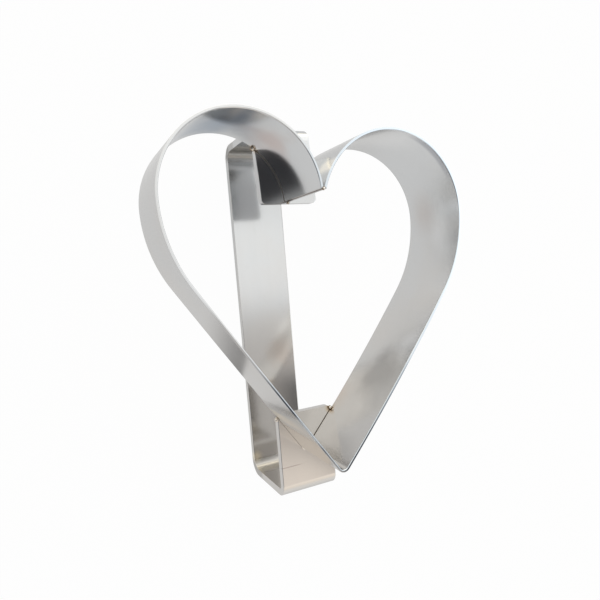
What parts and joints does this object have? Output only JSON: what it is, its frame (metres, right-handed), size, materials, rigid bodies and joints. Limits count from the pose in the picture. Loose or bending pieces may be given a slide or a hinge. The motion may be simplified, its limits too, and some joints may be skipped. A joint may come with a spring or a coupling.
{
  "type": "heart doughnut cutter",
  "caption": "Hand-held dough cutter: a heart bent from thin polished steel strip, tack welded to the in-turned feet of a staple-shaped flat-bar handle with a finger gap",
  "frame": {"origin": "middle of the flat back face of the handle's grip, on which the cutter lies", "axes": "+Z from the grip to the cutting edge, +Y along the grip to the end under the heart's lobes, +X to the right as seen looking at the cutting edge with the lobes up"},
  "size_m": [0.0976, 0.1222, 0.0544],
  "materials": {
    "bar_steel": "polished",
    "strip_steel": "polished",
    "weld_metal": "heat tinted"
  },
  "bodies": {
    "root": {"handle_bar": "bar_steel", "heart_band": "strip_steel", "weld_top_left": "weld_metal", "weld_top_right": "weld_metal", "weld_bottom_left": "weld_metal", "weld_bottom_right": "weld_metal", "weld_tip": "weld_metal", "weld_notch_back": "weld_metal", "weld_notch_front": "weld_metal"}
  },
  "joints": []
}
